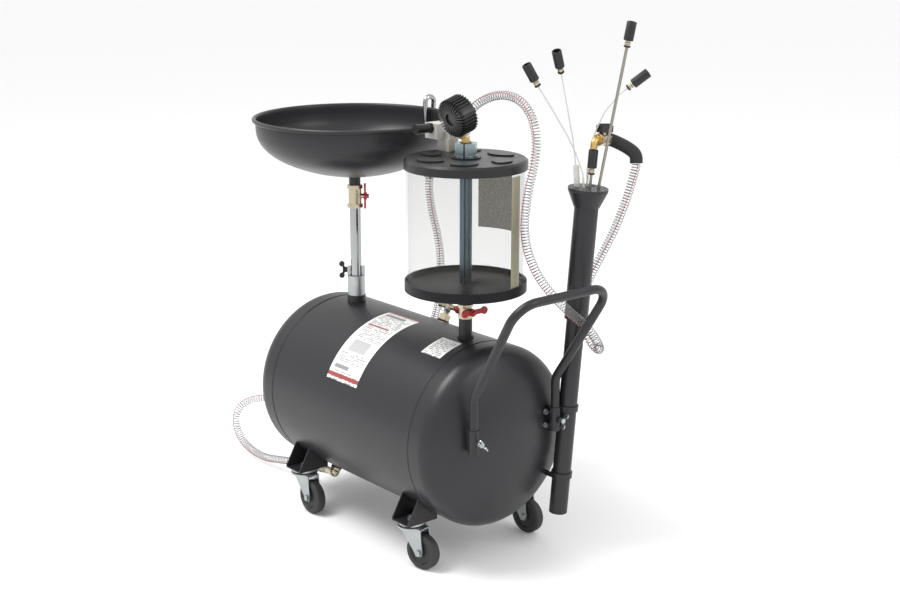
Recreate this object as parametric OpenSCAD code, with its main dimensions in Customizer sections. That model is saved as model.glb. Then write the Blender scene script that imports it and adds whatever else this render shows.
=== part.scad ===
// Mobile waste-oil drainer: a horizontal tank on four castors, a drain bowl on a sliding mast,
// a clear inspection chamber with a vacuum unit and gauge, and a storage tube of suction probes.
// Millimetres, +Z up, +X towards the push handle, floor at Z = 0.

/* [Tank] */
// Outside diameter of the tank
tank_d = 380; // [370:1:384]
// Distance between the two head weld seams
seam_gap = 480; // [470:2:490]
// Height of the tank's axis above the floor
tank_z = 266; // [262:1:270]
// Wall thickness of the tank
tank_wall = 3; // [2:0.5:4]

/* [Drain bowl and mast] */
// Outside diameter of the bowl at its rim
bowl_d = 436; // [420:2:440]
// Height of the bowl's rim above the floor
bowl_z = 868; // [860:1:880]
// Distance of the mast from the tank's middle
mast_x = 180; // [176:1:184]
// Diameter of the sliding mast tube
mast_d = 24; // [22:1:25]

/* [Inspection chamber] */
// Distance of the chamber from the tank's middle
chamber_x = 192; // [188:1:196]
// Outside diameter of the clear cylinder
glass_d = 239; // [236:1:240]
// Diameter of the lid and the base
lid_d = 247; // [246:1:250]

/* [Handle and storage tube] */
// Distance between the handle's legs
handle_w = 218; // [210:2:224]
// Diameter of the handle's tube
handle_d = 18; // [16:1:19]
// Diameter of the storage tube's upper half
store_d = 48; // [46:1:50]

/* [Castors] */
// Wheel diameter
wheel_d = 75; // [73:1:76]
// Wheel width
wheel_w = 22; // [20:1:24]
// Distance from the swivel's axis back to the axle
trail = 30; // [26:1:32]

/* [Hoses] */
// Outside diameter of both hoses
hose_d = 19; // [17:1:20]

/* [Hidden] */
$fn = 64;
// The tank's middle, from the origin under the middle of the whole object
tank_x = -39;
tank_y = -17;

tank_r = tank_d / 2;
tank_top = tank_z + tank_r;
head_x = seam_gap / 2 + 28;
knuckle_r = 40;
crown_r = 380;
gap = 0.3;
run = 0.05;

// Turning castors: place of each swivel's axis, and the way its wheel trails
swivel_z = 97;
swivels = [[198, -148, 12], [198, 144, 6], [-185, -148, 0], [-185, 148, 14]];
axle_r = 4;
kingpin_r = 6;
wheel_r = wheel_d / 2;
fork_gap = wheel_w + 3;

mast = [-mast_x, 0];
bung_top = 472;
sleeve_top = 516;
mast_foot = 244;
mast_top = 668;
valve_top = 718;
bowl_r = bowl_d / 2;
bowl_floor = 746;
screw_way = 230;
mast_screw_z = 528;

chamber = [chamber_x, 0];
neck_top = 497;
drain_top = 527;
base_low = 558;
base_top = 578;
floor_z = 570;
lid_low = 805;
lid_top = 825;
nut_top = 855;
glass_r = glass_d / 2;
glass_wall = 4;
lid_r = lid_d / 2;
tie_r = 12.5;

gauge_at = [192, -20, 910];
gauge_tilt = 18;
gauge_r = 33;

handle_x = 345;
socket_low = 273;
socket_top = 323;
socket_r = 11;
handle_bend = 385;
handle_slope = 30;
handle_top = 596;
corner_r = 48;
leg_bend_r = 32;
handle_lean = 7;

// The storage tube leans: its foot and its mouth
store_foot = [334, 134, 84];
store_mouth = [374, 160, 772];
store_len = norm(store_mouth - store_foot);
store_way = (store_mouth - store_foot) / store_len;
store_step = 422;
store_r = store_d / 2;
store_low_r = 19;
cap_r = 40;
cap_h = 38;

// Suction probes, from the middle of the cap's face
probe_r = 1.5;
steel_r = 3;
steel_foot = [14, 14.5, 0];
steel_head = [60, 34, 275];
steel_deep = 190;
work_foot = [1, 4, 0];
work_rise = 86;
work_deep = 470;

// Where the suction hose's fitting stands on the lid
suction_x = 144;
suction_y = 40;

// Routes of the two hoses, chosen points along their middles
suction_route = [
    [144, 40, 852], [144, 40, 878], [149, 42, 900], [161, 46, 917], [180, 51, 931], [208, 56, 943],
    [240, 60, 948], [274, 64, 942], [302, 65, 923], [321, 63, 895], [331, 59, 860], [333, 51, 820],
    [330, 43, 783], [328, 38, 748], [327, 35, 712], [328, 36, 684], [331, 40, 657], [338, 48, 627],
    [347, 59, 600], [360, 74, 573], [371, 92, 549], [381, 111, 528], [389, 133, 507], [397, 155, 483],
    [398, 173, 458], [391, 187, 441], [374, 195, 435], [355, 195, 446], [343, 191, 474],
    [338, 187, 509], [340, 190, 545], [347, 197, 576], [358, 206, 608], [373, 215, 645],
    [387, 222, 679], [398, 227, 710], [409, 232, 745], [418, 237, 782], [424, 239, 806],
    [425, 240, 818]];
discharge_route = [
    [-222, -72, 64], [-268, -63, 53], [-314, -61, 46], [-360, -62, 38], [-415, -65, 27], [-470, -68, 18],
    [-525, -70, 21], [-570, -70, 37], [-599, -65, 60], [-612, -56, 86], [-607, -42, 110], [-586, -22, 125],
    [-555, 6, 132], [-518, 42, 138], [-482, 84, 146], [-446, 128, 158], [-408, 170, 177], [-360, 204, 205],
    [-305, 224, 243], [-250, 233, 290], [-207, 234, 345], [-180, 233, 405], [-168, 231, 462],
    [-166, 230, 520], [-174, 228, 575], [-190, 225, 630], [-200, 225, 680], [-198, 225, 706]];

paint = "#3a3a3e";
zinc = "#b9c2c8";
chrome = "#d8dce0";
nickel = "#c8bfa0";
brass = "#b8923e";
red = "#b0202c";
black = "#202022";
clear = [0.8, 0.85, 0.88, 0.35];

// ---- Shared geometry ----

function unit(v) = v / norm(v);
function way(a) = [cos(a), sin(a)];
function arc(c, r, a0, a1, n) = [for (i = [0:n]) c + r * way(a0 + (a1 - a0) * i / n)];

// Everything is drawn about the tank's middle and then moved to the object's origin
module placed() {
    translate([tank_x, tank_y, 0]) children();
}

// Turns +Z to the direction d
module aim(d) {
    rotate([0, acos(d[2] / norm(d)), atan2(d[1], d[0])]) children();
}

module rod(a, b, r) {
    translate(a) aim(b - a) cylinder(h = norm(b - a), r = r);
}

module pipe(h, r, bore) {
    difference() {
        cylinder(h = h, r = r);
        translate([0, 0, -1]) cylinder(h = h + 2, r = bore);
    }
}

module hex(h, across) {
    cylinder(h = h, r = across / 2 / cos(30), $fn = 6);
}

// A bend in the XZ plane: enters at the origin going up, and turns towards +X
module bend(r, bend_r, angle) {
    translate([bend_r, 0, 0]) rotate([90, 0, 0])
        rotate([0, 0, 180 - angle]) rotate_extrude(angle = angle) translate([bend_r, 0]) circle(r = r, $fn = 32);
}

// A tube swept through a list of points
function tangent(p, i) = unit(p[min(i + 1, len(p) - 1)] - p[max(i - 1, 0)]);
function square_to(u, t) = unit(u - (u * t) * t);
function carried(p, i, u) = i == len(p) ? [] :
    let (w = square_to(u, tangent(p, i))) concat([w], carried(p, i + 1, w));

module swept(p, r, sides = 12) {
    ups = carried(p, 0, [0.3, 0.8, 0.1]);
    rings = len(p);
    points = [for (i = [0:rings - 1]) for (j = [0:sides - 1])
        let (a = 360 * j / sides, t = tangent(p, i))
        p[i] + r * (cos(a) * ups[i] + sin(a) * cross(t, ups[i]))];
    skin = [for (i = [0:rings - 2]) for (j = [0:sides - 1])
        let (k = (j + 1) % sides)
        [i * sides + j, (i + 1) * sides + j, (i + 1) * sides + k, i * sides + k]];
    caps = [[for (j = [0:sides - 1]) j],
        [for (j = [sides - 1:-1:0]) (rings - 1) * sides + j]];
    polyhedron(points = points, faces = concat(skin, caps));
}

// ---- Tank ----

// Half outline of the tank, its axis along the outline's second coordinate
function tank_outline(inset) =
    let (r = tank_r - inset, k = knuckle_r - inset, c = crown_r - inset,
         kc = tank_r - knuckle_r, rise = sqrt((c - k) * (c - k) - kc * kc),
         turn = acos(kc / (c - k)))
    concat([[0, 0]], [[r, 0]], arc([kc, head_x], k, 0, turn, 5),
        arc([0, head_x - rise], c, turn, 90, 8));

module tank_solid(inset) {
    translate([0, 0, tank_z]) for (side = [-1, 1])
        rotate([0, side * 90, 0]) rotate_extrude($fn = 96) polygon(tank_outline(inset));
}

module tank_shell() color(paint) placed() {
    difference() {
        tank_solid(0);
        tank_solid(tank_wall);
        for (side = [-1, 1]) translate([side * seam_gap / 2, 0, tank_z]) rotate([0, 90, 0])
            translate([0, 0, -1.5]) pipe(3, tank_r + 1, tank_r - 1);
        translate([mast[0], 0, tank_z]) cylinder(h = tank_r + 5, r = mast_d / 2 + 1);
        translate([chamber_x, 0, tank_z]) cylinder(h = tank_r + 5, r = 10);
        translate([air_x, 0, tank_z]) rotate([-air_turn, 0, 0]) cylinder(h = tank_r + 5, r = 5);
        translate([drain_x, 0, tank_z]) rotate([180 - drain_turn, 0, 0]) cylinder(h = tank_r + 5, r = 6);
    }
}

air_x = 5;
air_turn = 30;
drain_x = -143;
drain_turn = 28;

// Collars, neck and bosses welded to the tank
module tank_bungs() color(paint) placed() {
    difference() {
        union() {
            translate([mast[0], 0, tank_top - 20]) cylinder(h = bung_top - tank_top + 20, r = 20.5);
            translate([chamber_x, 0, tank_top - 20]) {
                cylinder(h = neck_top - tank_top + 20, r = 14);
                cylinder(h = 24, r = 17);
            }
            translate([air_x, 0, tank_z]) rotate([-air_turn, 0, 0]) translate([0, 0, tank_r - 5])
                cylinder(h = 9, r = 14);
            translate([drain_x, 0, tank_z]) rotate([180 - drain_turn, 0, 0]) translate([0, 0, tank_r - 5])
                cylinder(h = 9, r = 12);
        }
        tank_solid(0);
        translate([mast[0], 0, tank_top - 30]) cylinder(h = 80, r = mast_d / 2 + run);
        translate([chamber_x, 0, tank_top - 30]) cylinder(h = 80, r = 9);
        translate([air_x, 0, tank_z]) rotate([-air_turn, 0, 0]) cylinder(h = tank_r + 20, r = 5);
        translate([drain_x, 0, tank_z]) rotate([180 - drain_turn, 0, 0]) cylinder(h = tank_r + 20, r = 6);
    }
}

// Outlet low on the tank's near side: zinc elbow and brass hose tail
drain_knee = [drain_x, -(tank_r + 14) * sin(drain_turn), tank_z - (tank_r + 14) * cos(drain_turn)];
drain_way = unit(discharge_route[0] - drain_knee);

module drain_fitting() color(nickel) placed() {
    translate([drain_x, 0, tank_z]) rotate([180 - drain_turn, 0, 0]) translate([0, 0, tank_r + 4]) {
        hex(5, 20);
        cylinder(h = 10, r = 9);
    }
    translate(drain_knee) sphere(r = 11, $fn = 32);
    translate(drain_knee) aim(drain_way) {
        translate([0, 0, 8]) hex(10, 18);
        cylinder(h = norm(discharge_route[0] - drain_knee), r = 7.5);
        for (h = [50, 60, 70]) translate([0, 0, h]) cylinder(h = 3, r = 8.4);
    }
}

// ---- Castors ----

bracket_w = 54;
bracket_t = 3;

// One side's end view of a bracket: a triangle under the tank's curve
module ear_shape() {
    polygon([[178, swivel_z], [178, swivel_z + 6], [149, tank_z - sqrt(tank_r * tank_r - 149 * 149) + 6],
        [103, tank_z - sqrt(tank_r * tank_r - 103 * 103) + 4], [103, swivel_z]]);
}

module castor_brackets() color(paint) placed() {
    difference() {
        for (s = swivels) translate([s[0], 0, 0]) rotate([0, 0, s[1] > 0 ? 0 : 180]) {
            for (side = [-1, 1]) translate([side * (bracket_w - bracket_t) / 2, 0, 0])
                rotate([90, 0, 90]) translate([0, 0, -bracket_t / 2]) linear_extrude(bracket_t) ear_shape();
            difference() {
                translate([-bracket_w / 2, 103, swivel_z]) cube([bracket_w, 75, bracket_t]);
                translate([0, abs(s[1]), swivel_z - 1]) cylinder(h = 10, r = kingpin_r + 0.2);
            }
        }
        tank_solid(0);
    }
}

// Fixed top plate of each castor, with its kingpin
module castor_top_plates() color(zinc) placed() {
    for (s = swivels) translate([s[0], s[1], 0]) {
        translate([0, 0, swivel_z - 4]) cylinder(h = 4, r = 28);
        translate([0, 0, swivel_z - 7]) pipe(3, 22, 14);
        translate([0, 0, swivel_z - 14]) cylinder(h = 14 + bracket_t + 9, r = kingpin_r);
        translate([0, 0, swivel_z - 16]) cylinder(h = 3, r = 9);
    }
}

// Fork of one castor: dished crown, two tapered legs and the axle bolt
module fork(s) {
    crown_z = swivel_z - 12;
    leg = [[-18, crown_z - 4 - wheel_r], [-18, crown_z - wheel_r], [34, crown_z - wheel_r],
        [trail + 9.5, 2], [trail + 7, -6], [trail - 1, -9], [trail - 8, -5]];
    translate([s[0], s[1], 0]) rotate([0, 0, s[2]]) {
        difference() {
            union() {
                translate([0, 0, crown_z]) cylinder(h = 4, r = 29);
                translate([-18, -fork_gap / 2 - 2.5, crown_z]) cube([52, fork_gap + 5, 3]);
            }
            translate([0, 0, crown_z - 1]) cylinder(h = 8, r = kingpin_r + run);
        }
        for (side = [-1, 1]) translate([0, side * (fork_gap + 2.5) / 2, wheel_r]) rotate([90, 0, 0])
            translate([0, 0, -1.25]) linear_extrude(2.5) polygon(leg);
        translate([trail, -fork_gap / 2 - 7, wheel_r]) rotate([-90, 0, 0]) {
            cylinder(h = fork_gap + 14, r = axle_r);
            hex(4.5, 12);
            translate([0, 0, fork_gap + 9.5]) hex(4.5, 12);
        }
    }
}

// Moulded wheel: rounded tread, dished sides and a hub
module wheel(s) {
    half = wheel_w / 2;
    edge = 6;
    outline = concat([[axle_r + run, -half - 1]], [[10, -half - 1], [10, -half + 3], [24, -half + 3], [26, -half]],
        arc([wheel_r - edge, -half + edge], edge, -90, 0, 4), arc([wheel_r - edge, half - edge], edge, 0, 90, 4),
        [[26, half], [24, half - 3], [10, half - 3], [10, half + 1], [axle_r + run, half + 1]]);
    translate([s[0], s[1], 0]) rotate([0, 0, s[2]]) translate([trail, 0, wheel_r])
        rotate([90, 0, 0]) rotate_extrude($fn = 72) polygon(outline);
}

module castor_fork_1() color(zinc) placed() fork(swivels[0]);
module castor_fork_2() color(zinc) placed() fork(swivels[1]);
module castor_fork_3() color(zinc) placed() fork(swivels[2]);
module castor_fork_4() color(zinc) placed() fork(swivels[3]);
module castor_wheel_1() color(black) placed() wheel(swivels[0]);
module castor_wheel_2() color(black) placed() wheel(swivels[1]);
module castor_wheel_3() color(black) placed() wheel(swivels[2]);
module castor_wheel_4() color(black) placed() wheel(swivels[3]);

// Nuts and washers: one on each kingpin, and the bolts of the two handle brackets
module fasteners() color(zinc) placed() {
    for (s = swivels) translate([s[0], s[1], swivel_z + bracket_t]) difference() {
        union() {
            cylinder(h = 1.5, r = 9.5);
            translate([0, 0, 1.5]) hex(6, 14);
        }
        translate([0, 0, -1]) cylinder(h = 12, r = kingpin_r + 0.01);
    }
    for (z = bracket_bolts) translate([handle_x - 13, handle_w / 2 - 15, z]) rotate([0, 90, 0]) {
        cylinder(h = 2, r = 6);
        translate([0, 0, 2]) hex(4, 10);
    }
}

bracket_bolts = [284, 312];

// ---- Push handle ----

plate_t = 4;

// Socket tubes for the handle's legs, each on a plate welded to the tank's head
module handle_sockets() color(paint) placed() {
    for (side = [-1, 1]) difference() {
        union() {
            translate([handle_x, side * handle_w / 2, socket_low]) cylinder(h = socket_top - socket_low, r = socket_r);
            difference() {
                translate([handle_x - 45, side * handle_w / 2 - plate_t / 2, socket_low + 2])
                    cube([36, plate_t, socket_top - socket_low - 4]);
                tank_solid(0);
            }
            translate([handle_x, side * handle_w / 2, 298]) rotate([0, 90, 0]) cylinder(h = 17, r = 6);
        }
        translate([handle_x, side * handle_w / 2, socket_low + 3]) cylinder(h = 60, r = handle_d / 2 + run);
        translate([handle_x, side * handle_w / 2, 298]) rotate([0, 90, 0]) cylinder(h = 30, r = 3 + run);
    }
}

// Wing screw, its axis along +X from the middle of a socket
module wing_screw() {
    tip = handle_d / 2 + gap;
    rotate([0, 90, 0]) {
        translate([0, 0, tip]) cylinder(h = 14, r = 3);
        translate([0, 0, 17.3]) cylinder(h = 8, r = 5.5);
        for (side = [-1, 1]) translate([0, 0, 20]) rotate([0, side * 52, 0]) translate([-2, -1.5, 0]) {
            cube([4, 3, 13]);
            translate([2, 3, 14]) rotate([90, 0, 0]) cylinder(h = 3, r = 5);
        }
    }
}

module handle_screw_left() color(zinc) placed()
    translate([handle_x, -handle_w / 2, 298]) rotate([35, 0, 0]) wing_screw();
module handle_screw_right() color(zinc) placed()
    translate([handle_x, handle_w / 2, 298]) rotate([-25, 0, 0]) wing_screw();

// Bent steel tube: two straight legs, two sloping legs, two corners and a top bar.
// The right leg also leans outwards as it slopes.
module handle_tube() color(paint) placed() {
    r = handle_d / 2;
    rise = (handle_top - handle_bend) / cos(handle_slope);
    for (leg = [[-1, 0], [1, handle_lean]]) {
        side = leg[0];
        lean = leg[1];
        turn = acos(cos(handle_slope) * cos(lean));
        aside = atan2(sin(lean), sin(handle_slope) * cos(lean));
        cut = leg_bend_r * tan(turn / 2);
        corner = corner_r * tan((90 + lean) / 2);
        translate([handle_x, side * handle_w / 2, 0]) {
            translate([0, 0, socket_low + 5]) cylinder(h = handle_bend - cut - socket_low - 5, r = r);
            translate([0, 0, handle_bend - cut]) rotate([0, 0, aside]) bend(r, leg_bend_r, turn);
            translate([0, 0, handle_bend]) rotate([0, 0, aside]) rotate([0, turn, 0]) translate([0, 0, cut])
                cylinder(h = rise / cos(lean) - corner - cut, r = r);
        }
        translate([handle_x, 0, handle_bend]) rotate([0, handle_slope, 0])
            translate([0, side * (handle_w / 2 + rise * tan(lean) - corner), rise - corner_r])
                rotate([90, 0, 90]) rotate([0, 0, side > 0 ? -lean : 90])
                    rotate_extrude(angle = 90 + lean) translate([corner_r, 0]) circle(r = r);
    }
    bar_end = handle_w / 2 + rise * tan(handle_lean) - corner_r * tan((90 + handle_lean) / 2);
    translate([handle_x, 0, handle_bend]) rotate([0, handle_slope, 0])
        translate([0, corner_r - handle_w / 2, rise]) rotate([-90, 0, 0])
            cylinder(h = bar_end + handle_w / 2 - corner_r, r = r);
}

// ---- Storage tube ----

// Draws along the leaning tube, from its foot
module on_tube() {
    translate(store_foot) aim(store_mouth - store_foot) children();
}

module storage_tube_lower() color(paint) placed() on_tube() difference() {
    cylinder(h = store_step + 20, r = store_low_r);
    translate([0, 0, 3]) cylinder(h = store_step + 20, r = store_low_r - 2);
}

module storage_tube_upper() color(paint) placed() on_tube() difference() {
    translate([0, 0, store_step]) cylinder(h = store_len - cap_h - store_step + 10, r = store_r);
    translate([0, 0, store_step - 1]) cylinder(h = 21, r = store_low_r);
    translate([0, 0, store_step + 19]) cylinder(h = store_len, r = store_r - 2.5);
}

// Flared mouth with a drilled plate that keeps the probes apart
cap_t = 3;
module cap_frame() {
    translate(store_mouth) children();
}

module storage_cap() color(paint) placed() difference() {
    on_tube() difference() {
        union() {
            translate([0, 0, store_len - 6]) cylinder(h = 6, r = cap_r);
            translate([0, 0, store_len - cap_h]) cylinder(h = cap_h - 6, r1 = store_r + 2, r2 = cap_r);
        }
        translate([0, 0, store_len - cap_h - 1]) cylinder(h = 11.1, r = store_r + 0.05);
        translate([0, 0, store_len - cap_h + 10]) cylinder(h = cap_h - 13, r1 = store_r, r2 = cap_r - 4);
    }
    for (q = probe_feet) translate(store_mouth + q[0]) aim(q[1]) translate([0, 0, -15])
        cylinder(h = 30, r = q[2]);
}

// Each hole in the cap: its middle, its direction and its radius, the last one empty
probe_feet = [
    [[-3, -10, 0], [-0.04, -0.05, 1], 2.5], [[-17, -14, 0], [-0.05, -0.05, 1], 6.2],
    [steel_foot, steel_head - steel_foot, steel_r + 0.6], [[-10, 7, 0], [0, 0, 1], 2.5],
    [work_foot, store_way, 3.4], [[-8, 21, 0], store_way, 5.5]];

// Two bands that hold the storage tube, each on an arm from the right socket's bracket
clamp_at = [85, 232];
module tube_clamps() color(paint) placed() {
    for (h = clamp_at) {
        on_tube() translate([0, 0, h - 6]) pipe(12, store_low_r + 3, store_low_r + 0.01);
    }
    p = store_foot + clamp_at[1] * unit(store_mouth - store_foot);
    difference() {
        translate([handle_x - 8, handle_w / 2, p[2] - 5]) cube([6, p[1] - handle_w / 2 - store_low_r + 2, 10]);
        translate([handle_x, handle_w / 2, 0]) cylinder(h = 400, r = socket_r);
        on_tube() cylinder(h = store_len, r = store_low_r + 3);
    }
    q = store_foot + clamp_at[0] * unit(store_mouth - store_foot);
    difference() {
        translate([290, q[1] - 22, q[2] - 5]) cube([q[0] - 290, 4, 10]);
        tank_solid(0);
        on_tube() cylinder(h = store_len, r = store_low_r + 3);
    }
}

// ---- Inspection chamber ----

module chamber_base() color(black) placed() translate([chamber_x, 0, 0]) difference() {
    union() {
        translate([0, 0, base_low]) cylinder(h = base_top - base_low, r = lid_r);
        translate([0, 0, drain_top + 15]) cylinder(h = base_low - drain_top - 15, r1 = 36, r2 = lid_r - 8);
        translate([0, 0, drain_top]) cylinder(h = 16, r = 18);
    }
    translate([0, 0, floor_z]) cylinder(h = 30, r = glass_r + 0.2);
    translate([0, 0, drain_top - 1]) cylinder(h = 60, r = 8);
}

module chamber_glass() color(clear) placed() translate([chamber_x, 0, floor_z + 2])
    pipe(lid_low + 4 - floor_z - 4, glass_r, glass_r - glass_wall);

// Moulded lid with six raised crescents
module chamber_lid() color(black) placed() translate([chamber_x, 0, 0]) difference() {
    union() {
        translate([0, 0, lid_low]) cylinder(h = lid_top - lid_low - 4, r = lid_r);
        translate([0, 0, lid_top - 4]) cylinder(h = 4, r1 = lid_r, r2 = lid_r - 5);
        for (i = [0:5]) rotate([0, 0, i * 60 + 15]) intersection() {
            translate([74, 0, lid_top - 1]) cylinder(h = 4, r = 30);
            translate([96, 14, lid_top - 1]) cylinder(h = 4, r = 38);
        }
        translate([0, 0, lid_top - 1]) cylinder(h = 4, r = 30);
    }
    translate([0, 0, lid_low - 1]) cylinder(h = 5, r = glass_r + 0.2);
    translate([0, 0, lid_low + 2]) cylinder(h = 6, r = glass_r - 8);
    translate([0, 0, lid_low - 1]) cylinder(h = 40, r = tie_r + 0.1);
    translate([suction_x - chamber_x, suction_y, lid_low - 1]) cylinder(h = 40, r = 7);
    translate([suction_x - chamber_x, suction_y, lid_top]) cylinder(h = 9, r = 14);
    translate([80 - chamber_x, 16, lid_top]) cube([39, 30, 9]);
}

// Steel tube that ties the lid to the base, slotted down its front, with holes at its foot
module chamber_tie_tube() color("#8fa4b8") placed() translate([chamber_x, 0, floor_z]) difference() {
    cylinder(h = nut_top + 1 - floor_z, r = tie_r);
    translate([0, 0, -1]) cylinder(h = nut_top + 5 - floor_z, r = tie_r - 2.5);
    rotate([0, 0, -50]) translate([0, 0, 12]) rotate([0, 90, 0]) cylinder(h = 20, r = 3);
}

module chamber_nut() color(zinc) placed() translate([chamber_x, 0, lid_top + 3]) difference() {
    union() {
        rotate([0, 0, 10]) hex(nut_top - lid_top - 3, 41);
        cylinder(h = 3, r = 24);
    }
    translate([0, 0, -1]) cylinder(h = 40, r = tie_r + 0.01);
}

module chamber_gaskets() color(black) placed() translate([chamber_x, 0, 0]) {
    translate([0, 0, floor_z]) pipe(2, glass_r, glass_r - 5);
    translate([0, 0, lid_low + 2]) pipe(2, glass_r, glass_r - 5);
}

// ---- Ball valves ----

ball_r = 10;

// Valve body along +Z from its lower end, stem boss along +X
module valve_body(len, r, bore) {
    difference() {
        union() {
            cylinder(h = len, r = r);
            hex(8, 2 * r + 1);
            translate([0, 0, len - 8]) hex(8, 2 * r + 1);
            translate([0, 0, len / 2]) rotate([0, 90, 0]) cylinder(h = r + 5, r = 5.5);
        }
        translate([0, 0, -1]) cylinder(h = len + 2, r = bore);
        translate([0, 0, len / 2]) sphere(r = ball_r + run);
        translate([0, 0, len / 2]) rotate([0, 90, 0]) cylinder(h = r + 10, r = 2.5 + run);
    }
}

// Ball, stem, butterfly lever and its nut, turned about +X through the valve's middle
module valve_lever(r, long, short, turn) {
    difference() {
        sphere(r = ball_r);
        rotate([turn, 0, 0]) cylinder(h = 30, r = 6.5, center = true);
    }
    rotate([0, 90, 0]) {
        translate([0, 0, ball_r - 2]) cylinder(h = r + 6, r = 2.5);
        translate([0, 0, r + 5.3]) cylinder(h = 7, r = 8);
        translate([0, 0, r + 12.3]) hex(4, 8);
    }
    rotate([turn, 0, 0]) difference() {
        for (w = [[long, 0], [short, 180]]) rotate([w[1], 0, 0]) {
            translate([r + 6, -5, 0]) cube([4, 10, w[0] - 7]);
            translate([r + 6, 0, w[0] - 8]) rotate([0, 90, 0]) cylinder(h = 4, r = 8);
        }
        rotate([0, 90, 0]) cylinder(h = 60, r = 2);
    }
}

module drain_valve() color(nickel) placed() translate([chamber_x, 0, neck_top])
    valve_body(drain_top - neck_top, 13, 7.5);
module drain_lever() color(red) placed()
    translate([chamber_x, 0, (neck_top + drain_top) / 2]) valve_lever(13, 40, 27, -90);

// ---- Vacuum gauge ----

// Draws in the gauge's own frame: +Y towards its dial, +Z up its face
module on_gauge() {
    translate(gauge_at) rotate([gauge_tilt, 0, 0]) children();
}

module gauge_case() color(zinc) placed() on_gauge() difference() {
    rotate([-90, 0, 0]) translate([0, 0, -14]) cylinder(h = 28, r = gauge_r - 1);
    rotate([-90, 0, 0]) translate([0, 0, 4]) cylinder(h = 20, r = gauge_r - 3);
}

module gauge_boot() color(black) placed() on_gauge() difference() {
    rotate([-90, 0, 0]) {
        translate([0, 0, -18]) cylinder(h = 35, r = gauge_r + 3);
        for (i = [0:35]) rotate([0, 0, 10 * i]) translate([gauge_r + 2, -1, -17]) cube([3.5, 2, 33]);
    }
    rotate([-90, 0, 0]) translate([0, 0, -14]) cylinder(h = 40, r = gauge_r - 1);
    translate([0, -2, -gauge_r - 10]) cylinder(h = 20, r = 7);
}

module gauge_lens() color(clear) placed() on_gauge()
    rotate([-90, 0, 0]) translate([0, 0, 11]) cylinder(h = 2, r = gauge_r - 3);

module gauge_needle() color(black) placed() on_gauge() rotate([0, 125, 0]) {
    rotate([-90, 0, 0]) translate([0, 0, 5]) cylinder(h = 2, r = 3);
    translate([-0.8, 5.5, -7]) cube([1.6, 1, 31]);
}

module gauge_nipple() color(brass) placed() difference() {
    union() {
        on_gauge() translate([0, -2, -gauge_r - 13]) {
            cylinder(h = 15, r = 6);
            hex(8, 14);
        }
        translate([chamber_x, 0, nut_top + 1]) {
            cylinder(h = 9, r = 7);
            translate([0, 0, -1]) hex(5, 17);
        }
    }
    on_gauge() rotate([-90, 0, 0]) translate([0, 0, -14]) cylinder(h = 28, r = gauge_r - 1);
    translate([chamber_x, 0, nut_top - 10]) cylinder(h = 11, r = tie_r + 5);
}

// ---- Vacuum unit and hose fittings on the lid ----

module vacuum_block() color("#c9c8c2") placed() {
    translate([82, 18, lid_top]) cube([35, 26, 25]);
    translate([64, 0, lid_top + 25]) cube([38, 54, 31]);
    translate([102, 20, lid_top + 25]) cube([14, 34, 14]);
}

// Exhaust silencer on the near side of the vacuum unit
module vacuum_silencer() color(black) placed() translate([82, 0, lid_top + 47]) rotate([90, 0, 0]) {
    cylinder(h = 34, r = 9.5);
    translate([0, 0, 34]) cylinder(h = 6, r = 10.5);
    hex(4, 20);
}

// Air line plug on the far side of the vacuum unit
module air_inlet() color(brass) placed() translate([84, 54, lid_top + 41]) rotate([-90, 0, 0]) {
    hex(8, 17);
    translate([0, 0, 8]) cylinder(h = 14, r = 5.5);
    translate([0, 0, 22]) cylinder(h = 5, r = 4);
    translate([0, 0, 27]) cylinder(h = 9, r = 5.5);
}

module suction_elbow() color(brass) placed() translate([suction_x, suction_y, lid_top]) {
    hex(9, 24);
    cylinder(h = 27, r = 8);
    for (h = [12, 18]) translate([0, 0, h]) cylinder(h = 3, r = 9.2);
}

module suction_hose() color(clear) placed() swept(suction_route, hose_d / 2);
module discharge_hose() color(clear) placed() swept(discharge_route, hose_d / 2);

// ---- Suction head: elbow, valve, lever and padded grip, plugged on the working probe ----

head_at = store_mouth + work_foot + work_rise * store_way;
head_turn = 97;

// Draws in the head's own frame: +X out along the valve towards the grip
module on_head() {
    translate(head_at) rotate([0, 6, head_turn]) children();
}

module head_elbow() color(brass) placed() on_head() {
    bend(7, 9, 90);
    translate([8, 0, 9]) rotate([0, 90, 0]) hex(5, 18);
    translate([0, 0, -9]) cylinder(h = 9, r = 7);
}

// Horizontal ball valve, its stem on top
valve_in = [13, 0, 9];
head_len = 28;
module head_valve() color(nickel) placed() on_head()
    translate(valve_in) rotate([0, -90, 180]) valve_body(head_len, 11, 6.5);

// Ball, stem and flat lever above the valve
head_ball = valve_in + [head_len / 2, 0, 0];
module head_lever() color(black) placed() on_head() translate(head_ball) {
    difference() {
        sphere(r = ball_r);
        rotate([0, 90, 0]) cylinder(h = 30, r = 6, center = true);
    }
    translate([0, 0, ball_r - 2]) cylinder(h = 14, r = 2.5);
    translate([0, 0, 16.3]) cylinder(h = 6, r = 6.5);
    translate([-6, -5, 19]) cube([34, 10, 4]);
}

// Brass tail and the padded grip that turns down into the hose
grip_route = [[374.8, 209.8, 862.5], [374.5, 213.8, 862], [376.6, 218.4, 860.5], [382, 222.2, 858.2],
    [390, 226, 855], [399, 230.5, 850.8], [408, 235.4, 845.5], [417, 240, 838.5], [423, 241, 830], [425, 240, 818]];
module head_grip() color(black) placed() {
    swept(grip_route, 12.5);
    on_head() translate(valve_in + [head_len, 0, 0]) rotate([0, 90, 0]) cylinder(h = 9, r = 10.5);
}

// ---- Suction probes ----

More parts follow.
